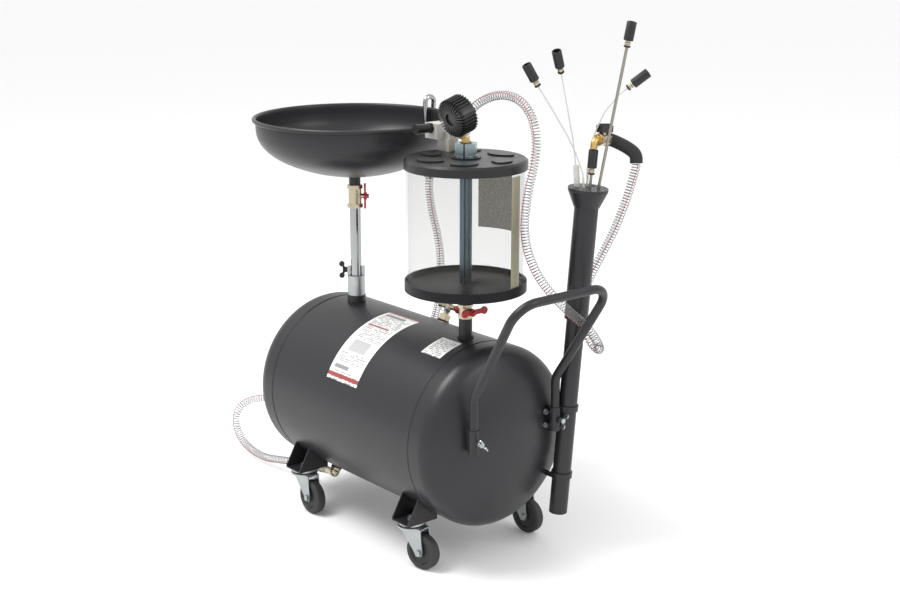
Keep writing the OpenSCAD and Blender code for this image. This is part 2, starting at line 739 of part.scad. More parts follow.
// Points along each nylon probe, from the cap's middle: inside the tube, then up to its head
function inside(q, deep) = q - deep * store_way;
nylon = [
    [inside([-5, -9, 0], 420), inside([-4, -10, 0], 60), [-3, -10, 2], [-4, -11, 26], [-11, -24, 66],
        [-20, -39, 102], [-34, -64, 150], [-49, -93, 201]],
    [inside([-6, -6, 0], 400), inside([-13, -12, 0], 60), [-17, -14, 1], [-19, -17, 44], [-22, -23, 94],
        [-37, -44, 224]],
    [inside([-8, 2, 0], 380), inside([-9, 5, 0], 60), [-10, 7, 1], [-11, 9, 43], [-7, 15, 92], [2, 18, 116],
        [18, 22, 149], [40, 36, 182], [54, 46, 196]]];
// The way each coupler points
coupler_ways = [[-9, -24, 43], [8, -22, 46], [32, 26, 33]];

module nylon_probes() color([0.92, 0.94, 0.95]) placed() {
    for (p = nylon) swept([for (q = p) store_mouth + q], probe_r, 8);
    for (e = [[0, 20], [1, 44], [2, 40]]) let (f = probe_feet[e[0] == 2 ? 3 : e[0]])
        translate(store_mouth + f[0]) aim(f[1]) translate([0, 0, -6])
            cylinder(h = 6 + e[1], r = e[0] == 1 ? 6 : 2.3);
}

// Quick coupler: black sleeve, plated collar and a rubber ring
module coupler() {
    translate([0, 0, 0]) cylinder(h = 3, r = 6.5);
    translate([0, 0, 3]) cylinder(h = 10, r = 5.5);
    translate([0, 0, 13]) difference() {
        cylinder(h = 36, r = 9.5);
        translate([0, 0, 14]) cylinder(h = 30, r = 7);
    }
}

module probe_couplers() color(black) placed() {
    for (i = [0:2]) translate(store_mouth + nylon[i][len(nylon[i]) - 1]) aim(coupler_ways[i]) coupler();
    translate(head_at) aim(store_way) translate([0, 0, -60]) {
        cylinder(h = 3, r = 6.5);
        translate([0, 0, 3]) cylinder(h = 8, r = 5.5);
        translate([0, 0, 11]) cylinder(h = 38.4, r = 9.5);
    }
}

module working_probe() color(zinc) placed()
    rod(store_mouth + work_foot - work_deep * store_way, head_at - 60 * store_way, 2.8);

module steel_probe() color(zinc) placed() translate(store_mouth + steel_foot) aim(steel_head - steel_foot)
    translate([0, 0, -steel_deep]) pipe(steel_deep + norm(steel_head - steel_foot), steel_r, 2);

module steel_probe_coupler() color(black) placed()
    translate(store_mouth + steel_head) aim(steel_head - steel_foot) coupler();

// ---- Mast and bowl ----

module mast_sleeve() color(zinc) placed() translate([mast[0], 0, 0]) difference() {
    union() {
        translate([0, 0, bung_top]) cylinder(h = sleeve_top - bung_top, r = 19);
        for (side = [0, 180]) rotate([0, 0, screw_way + side]) translate([mast_d / 2 + 0.5, -6, sleeve_top - 1])
            cube([19 - mast_d / 2 - 0.5, 12, 21]);
    }
    translate([0, 0, bung_top - 1]) cylinder(h = 80, r = mast_d / 2 + run);
    translate([0, 0, mast_screw_z]) rotate([0, 90, screw_way]) cylinder(h = 60, r = 3 + run);
    translate([0, 0, mast_screw_z]) rotate([0, 90, screw_way + 180]) cylinder(h = 60, r = 2);
}

module mast_screw() color(black) placed() translate([mast[0], 0, mast_screw_z]) rotate([0, 90, screw_way]) {
    translate([0, 0, mast_d / 2 + gap]) cylinder(h = 14, r = 3);
    translate([0, 0, 19.5]) cylinder(h = 10, r = 6);
    for (side = [-1, 1]) translate([0, 0, 24]) rotate([0, side * 60, 0]) translate([-2.5, -2, 0]) {
        cube([5, 4, 14]);
        translate([2.5, 4, 15]) rotate([90, 0, 0]) cylinder(h = 4, r = 6);
    }
}

module mast_tube() color(chrome) placed() translate([mast[0], 0, mast_foot])
    pipe(mast_top - mast_foot, mast_d / 2, mast_d / 2 - 2);

module mast_valve() color(nickel) placed() translate([mast[0], 0, mast_top])
    rotate([0, 0, lever_way]) valve_body(valve_top - mast_top, 14, 9);

lever_way = 50;
module mast_lever() color(red) placed() translate([mast[0], 0, (mast_top + valve_top) / 2])
    rotate([0, 0, lever_way]) valve_lever(14, 28, 28, 0);

// Half outline of the bowl's outside, from its middle up to the rim
bowl_in = bowl_r - 218;
bowl_side = [[58, 744], [98, 753], [138, 767], [170, 783], [193, 802], [206, 822], [210, 840], [211, bowl_z - 6]];
function bowl_outline(inset) = concat([[0, bowl_floor - 8 + inset]], [[25, bowl_floor - 8 + inset]],
    [for (q = bowl_side) [q[0] + bowl_in - inset * q[0] / 211, q[1] + inset * (1 - pow(q[0] / 211, 6))]]);

module bowl() color(paint) placed() translate([mast[0], 0, 0]) {
    difference() {
        union() {
            rotate_extrude($fn = 96) polygon(concat(bowl_outline(0), [[0, bowl_z - 6]]));
            translate([0, 0, valve_top]) cylinder(h = bowl_floor - valve_top, r = 12.5);
        }
        translate([0, 0, 0.01]) rotate_extrude($fn = 96) polygon(concat(bowl_outline(2), [[0, bowl_z - 6]]));
        translate([0, 0, valve_top - 1]) cylinder(h = 60, r = 9);
    }
    translate([0, 0, bowl_z - 4.5]) rotate_extrude($fn = 96) translate([bowl_r - 4.5, 0]) circle(r = 4.5, $fn = 24);
}

// Bent chrome spout of the discharge hose, hooked over the bowl's far rim
spout_foot = discharge_route[len(discharge_route) - 1];
spout_top = [-183, 225, bowl_z + 12];
spout_r = 5.5;
hook_r = 12;
module discharge_spout() color(chrome) placed() {
    way_up = spout_top - spout_foot;
    translate(spout_foot + gap * unit(way_up)) aim(way_up) cylinder(h = 26, r = 13);
    rod(spout_foot + 2 * unit(way_up), spout_top, spout_r);
    translate(spout_top) sphere(r = spout_r, $fn = 32);
    translate(spout_top) rotate([0, 0, -90]) bend(spout_r, hook_r, 180);
    inner = spout_top - [0, 2 * hook_r, 0];
    translate(inner) sphere(r = spout_r, $fn = 32);
    rod(inner, inner + [5, -3, -46], spout_r);
}

// ---- Air fittings on the tank ----

module on_air() {
    translate([air_x, 0, tank_z]) rotate([-air_turn, 0, 0]) translate([0, 0, tank_r + 4]) children();
}

module air_tee() color(nickel) placed() on_air() {
    rotate([0, 0, 20]) hex(13, 24);
    translate([0, 0, 13]) cylinder(h = 26, r = 7);
    translate([-30, 0, 32]) rotate([0, 90, 0]) cylinder(h = 52, r = 6);
    translate([22, 0, 32]) rotate([0, 90, 0]) cylinder(h = 6, r = 4);
}

module air_knob() color(red) placed() on_air() translate([28, 0, 32]) rotate([0, 90, 0]) {
    cylinder(h = 14, r = 8);
    translate([0, 0, 2]) cylinder(h = 8, r = 9.5);
}

module relief_valve() color(zinc) placed() on_air() translate([12, -6, 22]) rotate([90, 0, 0]) {
    cylinder(h = 10, r = 4);
    translate([0, 0, 3]) hex(5, 11);
    translate([0, 0, 10]) cylinder(h = 5, r = 2.5);
    translate([0, 0, 19]) rotate([0, 90, 0]) rotate_extrude() translate([5.5, 0]) circle(r = 0.8, $fn = 16);
}

// ---- Nodes ----

tank_shell();
tank_bungs();
drain_fitting();
castor_brackets();
castor_top_plates();
fasteners();
handle_sockets();
handle_tube();
handle_screw_left();
handle_screw_right();
storage_tube_lower();
storage_tube_upper();
storage_cap();
tube_clamps();
chamber_base();
chamber_glass();
chamber_lid();
chamber_tie_tube();
chamber_nut();
chamber_gaskets();
drain_valve();
drain_lever();
gauge_case();
gauge_boot();
gauge_lens();
gauge_needle();
gauge_nipple();
vacuum_block();
vacuum_silencer();
air_inlet();
suction_elbow();
suction_hose();
head_elbow();
head_valve();
head_lever();
head_grip();
nylon_probes();
probe_couplers();
working_probe();
steel_probe();
steel_probe_coupler();
mast_sleeve();
mast_screw();
mast_tube();
mast_valve();
mast_lever();
bowl();
discharge_spout();
discharge_hose();
air_tee();
air_knob();
relief_valve();
castor_fork_1();
castor_fork_2();
castor_fork_3();
castor_fork_4();
castor_wheel_1();
castor_wheel_2();
castor_wheel_3();
castor_wheel_4();
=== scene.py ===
import math

import bpy
from mathutils import Matrix, Vector


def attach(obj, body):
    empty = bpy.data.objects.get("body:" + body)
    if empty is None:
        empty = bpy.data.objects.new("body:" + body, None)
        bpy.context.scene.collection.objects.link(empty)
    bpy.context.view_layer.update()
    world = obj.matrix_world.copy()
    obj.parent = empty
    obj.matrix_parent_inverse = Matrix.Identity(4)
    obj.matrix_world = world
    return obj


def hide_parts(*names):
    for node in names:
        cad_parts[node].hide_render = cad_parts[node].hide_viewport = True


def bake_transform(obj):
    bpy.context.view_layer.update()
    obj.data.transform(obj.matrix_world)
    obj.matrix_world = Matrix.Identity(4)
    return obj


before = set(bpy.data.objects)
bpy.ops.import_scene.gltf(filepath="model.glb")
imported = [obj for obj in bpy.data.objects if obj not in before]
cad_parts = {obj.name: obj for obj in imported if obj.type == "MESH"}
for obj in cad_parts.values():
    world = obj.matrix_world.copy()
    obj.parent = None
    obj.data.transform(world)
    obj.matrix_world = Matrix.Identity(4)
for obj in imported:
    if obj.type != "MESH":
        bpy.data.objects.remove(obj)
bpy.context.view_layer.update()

# ---- The camera ----
# It stands off the handle's end, a little above the bowl, and looks down along the tank.
# Its place is in millimetres from under the tank's middle, like every other place given to at().
lens_azimuth, lens_pitch = math.radians(50.05), math.radians(14.97)
camera_place, focal_length = (2416, -1904, 1317), 59.86
tank_x, tank_y = -39, -17
mm = 0.001


def at(x, y, z):
    """A place in millimetres from under the tank's middle, as a point in the object's frame."""
    return Vector((x + tank_x, y + tank_y, z)) * mm


right = Vector((math.cos(lens_azimuth), math.sin(lens_azimuth), 0))
back = Vector((math.sin(lens_azimuth) * math.cos(lens_pitch), -math.cos(lens_azimuth) * math.cos(lens_pitch),
               math.sin(lens_pitch)))
up = back.cross(right)
camera = bpy.data.objects.new("camera", bpy.data.cameras.new("camera"))
camera.data.lens = focal_length
camera.data.clip_end = 200
camera.matrix_world = Matrix.Translation(at(*camera_place)) @ Matrix((right, up, back)).transposed().to_4x4()
bpy.context.collection.objects.link(camera)
bpy.context.scene.camera = camera

# ---- The two hoses ----
# Clear PVC hose, 19 mm outside, with a galvanised steel spiral in its wall and one red tracer thread.
# The suction hose runs from the lid's brass tail to the grip; the discharge hose from the tank to the spout.
hose_diameter = 0.019
suction_points = [
    (144, 40, 852), (144, 40, 878), (149, 42, 900), (161, 46, 917), (180, 51, 931), (208, 56, 943),
    (240, 60, 948), (274, 64, 942), (302, 65, 923), (321, 63, 895), (331, 59, 860), (333, 51, 820),
    (330, 43, 783), (328, 38, 748), (327, 35, 712), (328, 36, 684), (331, 40, 657), (338, 48, 627),
    (347, 59, 600), (360, 74, 573), (371, 92, 549), (381, 111, 528), (389, 133, 507), (397, 155, 483),
    (398, 173, 458), (391, 187, 441), (374, 195, 435), (355, 195, 446), (343, 191, 474), (338, 187, 509),
    (340, 190, 545), (347, 197, 576), (358, 206, 608), (373, 215, 645), (387, 222, 679), (398, 227, 710),
    (409, 232, 745), (418, 237, 782), (424, 239, 806), (425, 240, 818)]
discharge_points = [
    (-222, -72, 64), (-268, -63, 53), (-314, -61, 46), (-360, -62, 38), (-415, -65, 27), (-470, -68, 18),
    (-525, -70, 21), (-570, -70, 37), (-599, -65, 60), (-612, -56, 86), (-607, -42, 110), (-586, -22, 125),
    (-555, 6, 132), (-518, 42, 138), (-482, 84, 146), (-446, 128, 158), (-408, 170, 177), (-360, 204, 205),
    (-305, 224, 243), (-250, 233, 290), (-207, 234, 345), (-180, 233, 405), (-168, 231, 462),
    (-166, 230, 520), (-174, 228, 575), (-190, 225, 630), (-200, 225, 680), (-198, 225, 706)]


def rounded(points, steps):
    """More points, on a smooth line through the given vectors."""
    p = [2 * points[0] - points[1]] + points + [2 * points[-1] - points[-2]]
    line = []
    for a, b, c, d in zip(p, p[1:], p[2:], p[3:]):
        for t in (i / steps for i in range(steps)):
            line.append(0.5 * (2 * b + (c - a) * t + (2 * a - 5 * b + 4 * c - d) * t ** 2
                               + (3 * b - a - 3 * c + d) * t ** 3))
    return line + [p[-2]]


def smooth_line(points, steps=8):
    """A smooth line through the points, which are millimetres from under the tank's middle."""
    return rounded([at(*q) for q in points], steps)


def new_node(tree, kind, settings, values):
    """A node with its settings, and a value or a link for each named socket."""
    node = tree.nodes.new(kind)
    for name, value in settings.items():
        setattr(node, name, value)
    for name, value in values.items():
        value = value.socket if isinstance(value, Number) else value
        if isinstance(value, bpy.types.NodeSocket):
            tree.links.new(value, node.inputs[name])
        else:
            node.inputs[name].default_value = value
    return node


class Number:
    """A number in a shader: sums written with it become Math nodes."""

    def __init__(self, look, socket):
        self.look, self.socket = look, socket

    def maths(self, operation, *values):
        node = self.look.node("ShaderNodeMath", {"operation": operation}, dict(enumerate(values)))
        return Number(self.look, node.outputs[0])

    def __add__(self, other):
        return self.maths("ADD", self, other)

    def __radd__(self, other):
        return self.maths("ADD", other, self)

    def __sub__(self, other):
        return self.maths("SUBTRACT", self, other)

    def __mul__(self, other):
        return self.maths("MULTIPLY", self, other)

    def __rmul__(self, other):
        return self.maths("MULTIPLY", other, self)

    def __truediv__(self, other):
        return self.maths("DIVIDE", self, other)

    def __pow__(self, other):
        return self.maths("POWER", self, other)

    def __gt__(self, other):
        return self.maths("GREATER_THAN", self, other)

    def __lt__(self, other):
        return self.maths("LESS_THAN", self, other)

    def fraction(self):
        return self.maths("FRACT", self)

    def whole(self):
        return self.maths("FLOOR", self)

    def size(self):
        return self.maths("ABSOLUTE", self)

    def capped(self):
        return self.maths("MINIMUM", self.maths("MAXIMUM", self, 0.0), 1.0)


class Finish:
    """One surface finish: a material whose shader this builds node by node."""

    def __init__(self, name, colour, roughness=0.5, metallic=0.0, **uniform):
        self.material = bpy.data.materials.new(name)
        self.material.use_nodes = True
        self.tree = self.material.node_tree
        self.shader = self.tree.nodes["Principled BSDF"]
        self.material.diffuse_color = (*colour, 1)
        self.set("Base Color", (*colour, 1))
        self.set("Roughness", roughness)
        self.set("Metallic", metallic)
        for name, value in uniform.items():
            self.set(name.replace("_", " "), value)

    def set(self, name, value):
        value = value.socket if isinstance(value, Number) else value
        if isinstance(value, bpy.types.NodeSocket):
            self.tree.links.new(value, self.shader.inputs[name])
        else:
            self.shader.inputs[name].default_value = value

    def node(self, kind, settings={}, values={}):
        return new_node(self.tree, kind, settings, values)

    def place(self, kind="Object"):
        return self.node("ShaderNodeTexCoord").outputs[kind]

    def noise(self, scale, detail=3.0, stretch=None):
        where = self.place()
        if stretch:
            where = self.node("ShaderNodeMapping", {}, {"Vector": where, "Scale": stretch}).outputs[0]
        node = self.node("ShaderNodeTexNoise", {}, {"Vector": where, "Scale": scale, "Detail": detail})
        return Number(self, node.outputs[0])

    def mix(self, amount, first, second):
        node = self.node("ShaderNodeMix", {"data_type": "RGBA"}, {0: amount, 6: first, 7: second})
        return node.outputs[2]

    def bump(self, height, depth, strength=1.0):
        node = self.node("ShaderNodeBump", {}, {"Height": height, "Distance": depth, "Strength": strength})
        self.set("Normal", node.outputs[0])

    def angle_about(self, x, y):
        """The angle in degrees round an upright axis, whose place is in millimetres like a point's."""
        parts = self.node("ShaderNodeSeparateXYZ", {}, {0: self.place()}).outputs
        middle = at(x, y, 0)
        around = self.node("ShaderNodeMath", {"operation": "ARCTAN2"}, {
            0: Number(self, parts[1]) - middle.y, 1: Number(self, parts[0]) - middle.x})
        return Number(self, around.outputs[0]) * (180 / math.pi)

    def edge_on(self, blend):
        return Number(self, self.node("ShaderNodeLayerWeight", {}, {"Blend": blend}).outputs["Facing"])


hose_wall = Finish("clear PVC", (0.86, 0.86, 0.85), 0.2)
hose_wall.set("Alpha", 0.07 + 0.3 * hose_wall.edge_on(0.3) ** 2.0)
hose_wall.bump(hose_wall.noise(260, 2), 0.0004, 0.4)
spiral_wire = Finish("galvanised spring wire", (0.11, 0.11, 0.115), 0.4, 0.3)
spiral_wire.set("Roughness", 0.25 + 0.3 * spiral_wire.noise(400))
tracer_thread = Finish("red tracer thread", (0.45, 0.03, 0.04), 0.6)
tracer_thread.bump(tracer_thread.noise(1500), 0.0002)


def hose_tree():
    """A hose along a curve: clear wall, spiral of wire inside the wall, and a tracer thread."""
    tree = bpy.data.node_groups.new("spiral hose", "GeometryNodeTree")
    face = tree.interface
    face.new_socket("Line", in_out="INPUT", socket_type="NodeSocketGeometry")
    for name, kind in (("Outside radius", "NodeSocketFloat"), ("Pitch", "NodeSocketFloat"),
                       ("Wire radius", "NodeSocketFloat"), ("Wall", "NodeSocketMaterial"),
                       ("Wire", "NodeSocketMaterial"), ("Thread", "NodeSocketMaterial")):
        face.new_socket(name, in_out="INPUT", socket_type=kind)
    face.new_socket("Hose", in_out="OUTPUT", socket_type="NodeSocketGeometry")
    given = tree.nodes.new("NodeGroupInput").outputs

    def node(kind, settings={}, values={}):
        return new_node(tree, kind, settings, values).outputs

    def maths(operation, *values):
        return node("ShaderNodeMath", {"operation": operation}, dict(enumerate(values)))[0]

    def scaled(vector, number):
        return node("ShaderNodeVectorMath", {"operation": "SCALE"}, {0: vector, "Scale": number})[0]

    def skin(line, radius, sides, material, caps=False):
        ring = node("GeometryNodeCurvePrimitiveCircle", {}, {"Resolution": sides, "Radius": radius})[0]
        tube = node("GeometryNodeCurveToMesh", {}, {"Curve": line, "Profile Curve": ring, "Fill Caps": caps})[0]
        tube = node("GeometryNodeSetShadeSmooth", {}, {"Geometry": tube})[0]
        return node("GeometryNodeSetMaterial", {}, {"Geometry": tube, "Material": material})[0]

    def wound(line, radius, angle):
        along = node("GeometryNodeInputTangent")[0]
        out = node("GeometryNodeInputNormal")[0]
        across = node("ShaderNodeVectorMath", {"operation": "CROSS_PRODUCT"}, {0: along, 1: out})[0]
        offset = node("ShaderNodeVectorMath", {"operation": "ADD"}, {
            0: scaled(out, maths("MULTIPLY", maths("COSINE", angle), radius)),
            1: scaled(across, maths("MULTIPLY", maths("SINE", angle), radius))})[0]
        return node("GeometryNodeSetPosition", {}, {"Geometry": line, "Offset": offset})[0]

    per_turn, wall_sides, wire_sides, thread_radius = 10, 20, 5, 0.0008
    ring_spacing, wires_inside = 0.005, 1.6
    thread_start, thread_turn = 2.0, 3.0
    line = given["Line"]
    length = node("GeometryNodeCurveLength", {}, {"Curve": line})[0]
    count = maths("MULTIPLY", maths("DIVIDE", length, given["Pitch"]), per_turn)
    fine = node("GeometryNodeResampleCurve", {}, {"Curve": line, "Count": count})[0]
    ring_count = maths("DIVIDE", length, ring_spacing)
    coarse = node("GeometryNodeResampleCurve", {}, {"Curve": line, "Count": ring_count})[0]
    inside = maths("SUBTRACT", given["Outside radius"], maths("MULTIPLY", given["Wire radius"], wires_inside))
    turn = maths("MULTIPLY", node("GeometryNodeInputIndex")[0], 2 * math.pi / per_turn)
    along = node("GeometryNodeSplineParameter")["Factor"]
    lean = maths("ADD", thread_start, maths("MULTIPLY", along, thread_turn))
    parts = [skin(coarse, given["Outside radius"], wall_sides, given["Wall"], True),
             skin(wound(fine, inside, turn), given["Wire radius"], wire_sides, given["Wire"]),
             skin(wound(coarse, inside, lean), thread_radius, wire_sides, given["Thread"])]
    join = tree.nodes.new("GeometryNodeJoinGeometry")
    for part in reversed(parts):
        tree.links.new(part, join.inputs[0])
    real = node("GeometryNodeRealizeInstances", {}, {"Geometry": join.outputs[0]})[0]
    tree.links.new(real, tree.nodes.new("NodeGroupOutput").inputs[0])
    return tree


def made_plain(thing, tree, inputs):
    """Runs a tree on an object and keeps the result as a plain mesh in a new object."""
    modifier = thing.modifiers.new("made", "NODES")
    modifier.node_group = tree
    for socket in tree.interface.items_tree:
        if socket.in_out == "INPUT" and socket.name in inputs:
            modifier[socket.identifier] = inputs[socket.name]
    name, solid = thing.name, bpy.data.meshes.new_from_object(
        thing.evaluated_get(bpy.context.evaluated_depsgraph_get()))
    bpy.data.objects.remove(thing)
    piece = bpy.data.objects.new(name, solid)
    bpy.context.collection.objects.link(piece)
    return piece


def grown(name, tree, line, inputs):
    """A tree's work along a line."""
    curve = bpy.data.curves.new(name, "CURVE")
    curve.dimensions = "3D"
    spline = curve.splines.new("POLY")
    spline.points.add(len(line) - 1)
    for point, place in zip(spline.points, line):
        point.co = (*place, 1)
    path = bpy.data.objects.new(name, curve)
    bpy.context.collection.objects.link(path)
    return made_plain(path, tree, inputs)


def length_of(line):
    """The length of a line of points, in metres."""
    return sum((b - a).length for a, b in zip(line, line[1:]))


spiral_hose = hose_tree()
hose_parts = {"Outside radius": hose_diameter / 2, "Pitch": 0.006, "Wire radius": 0.0007,
              "Wall": hose_wall.material, "Wire": spiral_wire.material, "Thread": tracer_thread.material}
suction_line = smooth_line(suction_points)
suction_hose = grown("suction_hose_look", spiral_hose, suction_line, hose_parts)
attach(suction_hose, "drainer")
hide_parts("suction_hose")
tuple(suction_line[0])
length_of(suction_line)

discharge_line = smooth_line(discharge_points)
discharge_hose = grown("discharge_hose_look", spiral_hose, discharge_line, hose_parts)
at(-180, 233, 300)
at(-200, 225, 690)
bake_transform(discharge_hose)
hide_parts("discharge_hose")
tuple(discharge_line[0])
length_of(discharge_line)

# ---- The tank ----
# A rolled steel shell with two pressed heads, butt welded, then powder coated in satin charcoal.
# Its sizes are millimetres; each head starts, and each weld lies, at a distance from the tank's middle.
tank_radius, tank_height, crown_radius, knuckle_radius = 190, 266, 380, 40
head_start, seam_place = 268, 240
seam_top, seam_foot, seam_depth = 3, 1.2, 1.3


def turned(name, outline, place, steps=128, sharp=35):
    """A turned surface: outline holds (radius, height) pairs, and place maps x, y, height to a point."""
    points, faces, rows = [], [], []
    for radius, height in outline:
        rows.append(len(points))
        if radius < 0.01:
            points.append(place(0, 0, height))
        else:
            points += [place(radius * math.cos(2 * math.pi * i / steps),
                             radius * math.sin(2 * math.pi * i / steps), height) for i in range(steps)]
    rows.append(len(points))
    for low, high, after in zip(rows, rows[1:], rows[2:]):
        for i in range(steps):
            j = (i + 1) % steps
            if high - low == 1:
                faces.append((low, high + j, high + i))
            elif after - high == 1:
                faces.append((low + i, low + j, high))
            else:
                faces.append((low + i, low + j, high + j, high + i))
    return meshed(name, points, faces, sharp)


def meshed(name, points, faces, sharp=35):
    """A new smooth-shaded piece, with sharp edges where faces meet at more than an angle in degrees."""
    mesh = bpy.data.meshes.new(name)
    mesh.from_pydata([tuple(p) for p in points], [], faces)
    mesh.update()
    mesh.polygons.foreach_set("use_smooth", [True] * len(mesh.polygons))
    mesh.set_sharp_from_angle(angle=math.radians(sharp))
    piece = bpy.data.objects.new(name, mesh)
    bpy.context.collection.objects.link(piece)
    return piece


def dress(piece, finish, body, slot, *nodes):
    """Gives a made piece its finish and its body, and hides the nodes it stands for; the slot argument is not
    used.
    """
    piece.data.materials.clear()
    piece.data.materials.append(finish.material)
    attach(piece, body)
    if nodes:
        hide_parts(*nodes)


def finish_nodes(finish, *names):
    """Gives plain parts their finish; nothing else of theirs is changed."""
    for name in names:
        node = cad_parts[name]
        node.data.materials.clear()
        node.data.materials.append(finish.material)


charcoal = Finish("charcoal powder coat", (0.019, 0.0185, 0.021), 0.45, Specular_IOR_Level=0.36)
charcoal.set("Roughness", 0.29 + 0.14 * charcoal.noise(14, 4))
charcoal.bump(charcoal.noise(900, 2), 0.00025, 0.35)


def head_outline():
    """Radius and distance from the tank's middle, from the skirt round the knuckle to the crown's pole."""
    inner = tank_radius - knuckle_radius
    rise = math.sqrt((crown_radius - knuckle_radius) ** 2 - inner ** 2)
    turn = math.acos(inner / (crown_radius - knuckle_radius))
    bend_steps, crown_steps = 14, 18
    outline = []
    for i in range(bend_steps + 1):
        a = turn * i / bend_steps
        outline.append((inner + knuckle_radius * math.cos(a), head_start + knuckle_radius * math.sin(a)))
    for i in range(1, crown_steps + 1):
        a = turn + (math.pi / 2 - turn) * i / crown_steps
        outline.append((crown_radius * math.cos(a), head_start - rise + crown_radius * math.sin(a)))
    return outline


seam = [(tank_radius, seam_place - seam_top), (tank_radius - seam_depth, seam_place - seam_foot),
        (tank_radius - seam_depth, seam_place + seam_foot), (tank_radius, seam_place + seam_top)]
half = [(tank_radius, 60), (tank_radius, 140), (tank_radius, 215)] + seam + head_outline()
tank = turned("tank_look", [(r, -h) for r, h in reversed(half)] + [(tank_radius, 0)] + half,
              lambda x, y, h: at(h, x, tank_height + y), steps=192)
dress(tank, charcoal, "drainer", "paint", "tank_shell")
finish_nodes(charcoal, "tank_bungs", "castor_brackets", "handle_sockets", "handle_tube", "storage_tube_lower",
             "storage_tube_upper", "storage_cap", "tube_clamps")

# ---- The labels on the tank ----
# Printed vinyl, stuck on after the paint: a large sheet over the tank's side and a small one by the chamber.
# They carry plain blocks and lines where a real one has its wording.
sticker_lift = 0.35
vinyl_white, ink_black = (0.8, 0.8, 0.78), (0.12, 0.12, 0.12)
label_red, label_grey, picture_grey = (0.3, 0.05, 0.05), (0.25, 0.25, 0.25), (0.45, 0.45, 0.45)


def sticker(name, x0, x1, a0, a1, finish):
    """A sticker on the tank, between two places along it and two angles down from the top, towards -Y."""
    points, faces, corners = [], [], []
    columns, rows, radius = 8, 24, tank_radius + sticker_lift
    for j in range(rows + 1):
        a = math.radians(a0 + (a1 - a0) * j / rows)
        for i in range(columns + 1):
            points.append(at(x0 + (x1 - x0) * i / columns, -radius * math.sin(a),
                             tank_height + radius * math.cos(a)))
    for j in range(rows):
        for i in range(columns):
            k = j * (columns + 1) + i
            faces.append((k, k + columns + 1, k + columns + 2, k + 1))
            corners += [(u / columns, v / rows) for u, v in ((i, j), (i, j + 1), (i + 1, j + 1), (i + 1, j))]
    piece = meshed(name, points, faces)
    uv = piece.data.uv_layers.new(name="print")
    for loop, corner in zip(uv.data, corners):
        loop.uv = corner
    dress(piece, finish, "drainer", "white_nylon")


def printed(name, lines, words, blocks):
    """White vinyl with rows of grey dashes, and blocks as (left, right, top, bottom, colour)."""
    finish = Finish(name, vinyl_white, 0.4)
    parts = finish.node("ShaderNodeSeparateXYZ", {}, {0: finish.place("UV")})
    u, v = Number(finish, parts.outputs[0]), Number(finish, parts.outputs[1])
    row, column = (v * lines).whole(), (u * words).whole()
    spot = finish.node("ShaderNodeCombineXYZ", {}, {0: column, 1: row})
    chance = Number(finish, finish.node("ShaderNodeTexWhiteNoise", {}, {"Vector": spot.outputs[0]}).outputs[0])
    gap_share, margin = 0.35, 0.08
    ink = ((v * lines).fraction() > 0.5) * (chance > gap_share) * (u > margin) * (u < 1 - margin)
    colour = finish.mix(ink * 0.75, (*vinyl_white, 1), (*ink_black, 1))
    for left, right, top, bottom, paint in blocks:
        colour = finish.mix((u > left) * (u < right) * (v > top) * (v < bottom), colour, (*paint, 1))
    finish.set("Base Color", colour)
    return finish


big_print = printed("printed vinyl, large", 46, 26, [
    (0, 1, 0, 0.025, label_red), (0.05, 0.95, 0.05, 0.12, vinyl_white), (0.08, 0.7, 0.06, 0.11, label_grey),
    (0.05, 0.95, 0.3, 0.33, vinyl_white), (0.08, 0.75, 0.305, 0.325, label_red),
    (0.05, 0.95, 0.52, 0.7, vinyl_white), (0.2, 0.75, 0.54, 0.68, picture_grey),
    (0, 1, 0.82, 0.9, vinyl_white), (0.1, 0.55, 0.84, 0.88, label_grey), (0, 1, 0.93, 0.97, label_red)])
sticker("large_label", -56, 48, 0, 65, big_print)
small_print = printed("printed vinyl, small", 12, 18, [(0.05, 0.95, 0.02, 0.1, vinyl_white)])
sticker("small_label", 158, 218, 9.5, 28, small_print)

# ---- The castors ----
# Zinc-plated pressed forks that turn on kingpins, bolted under the tank's four brackets.
# Each carries a hard rubber wheel on a bolt.
zinc = Finish("bright zinc plate", (0.4, 0.42, 0.43), 0.3, 1.0)
zinc.set("Roughness", 0.2 + 0.3 * zinc.noise(60, 4))
zinc.set("Base Color", zinc.mix(zinc.noise(35, 4), (0.3, 0.33, 0.35, 1), (0.5, 0.51, 0.5, 1)))
castors = range(1, 5)
finish_nodes(zinc, "castor_top_plates", "fasteners", "handle_screw_left", "handle_screw_right",
             "mast_sleeve", "relief_valve", "gauge_case", *(f"castor_fork_{i}" for i in castors))
tyre = Finish("hard black rubber", (0.022, 0.022, 0.023), 0.6)
tyre.set("Roughness", 0.5 + 0.25 * tyre.noise(80, 3))
tyre.bump(tyre.noise(600, 2), 0.0003, 0.4)
finish_nodes(tyre, *(f"castor_wheel_{i}" for i in castors))

# ---- The inspection chamber ----
# A clear acrylic cylinder on rubber gaskets, between a moulded lid and a moulded base with ribs.
# A slotted steel tube up its middle, with a nut on top, pulls the three together.
chamber_x = 192
acrylic = Finish("clear acrylic", (0.1, 0.095, 0.08), 0.06)
acrylic.set("Alpha", 0.085 + 0.4 * acrylic.edge_on(0.25) ** 3.0)
finish_nodes(acrylic, "chamber_glass", "gauge_lens")
moulding = Finish("black moulding", (0.011, 0.011, 0.012), 0.35, Specular_IOR_Level=0.36)
moulding.set("Roughness", 0.24 + 0.2 * moulding.noise(40, 4))
moulding.bump(moulding.noise(500, 3), 0.0002, 0.3)
finish_nodes(moulding, "chamber_lid", "vacuum_silencer", "mast_screw", "gauge_needle")
ridged = Finish("ridged black moulding", (0.012, 0.012, 0.014), 0.4, Specular_IOR_Level=0.12)
ridge_turn = ridged.angle_about(chamber_x, 0)
